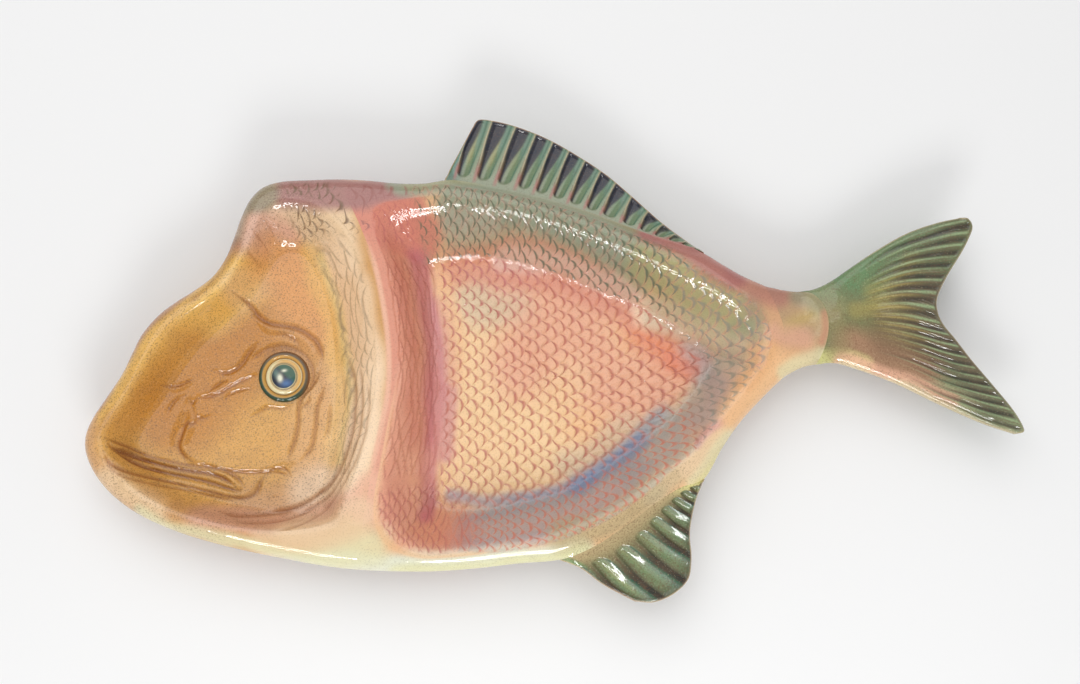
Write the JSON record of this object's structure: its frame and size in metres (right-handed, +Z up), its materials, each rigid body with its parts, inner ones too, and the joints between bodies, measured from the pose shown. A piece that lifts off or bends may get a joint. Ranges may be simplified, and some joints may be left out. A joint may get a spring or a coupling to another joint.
{
  "type": "fish shaped serving platter",
  "caption": "Fish shaped ceramic serving platter with a head well and a scaled trunk well, rolled rim, fluted fins and a forked tail, standing on foot rings.",
  "frame": {"origin": "middle of the overall box, on the table", "axes": "+X from the nose to the tail, +Y towards the dorsal fin, +Z up out of the wells"},
  "size_m": [0.4798, 0.262, 0.036],
  "materials": {
    "head_glaze": "high-gloss clear glaze over airbrushed golden ochre",
    "trunk_glaze": "high-gloss clear glaze over airbrushed coral, peach, green and blue",
    "stem_glaze": "high-gloss clear glaze over airbrushed peach and pink",
    "tail_glaze": "high-gloss clear glaze over airbrushed green, ochre and brown",
    "dorsal_glaze": "high-gloss clear glaze over airbrushed green and navy",
    "anal_glaze": "high-gloss clear glaze over airbrushed olive green",
    "head_foot_clay": "bare buff earthenware, satin",
    "trunk_foot_clay": "bare buff earthenware, satin",
    "eye_ring_glaze": "high-gloss glaze, dark green",
    "eyeball_glaze": "high-gloss glaze, yellow with a blue pupil"
  },
  "bodies": {
    "root": {"head_dish": "head_glaze", "trunk_dish": "trunk_glaze", "tail_stem": "stem_glaze", "tail_fin": "tail_glaze", "dorsal_fin": "dorsal_glaze", "anal_fin": "anal_glaze", "head_foot": "head_foot_clay", "trunk_foot": "trunk_foot_clay", "eye_ring": "eye_ring_glaze", "eyeball": "eyeball_glaze"}
  },
  "joints": []
}
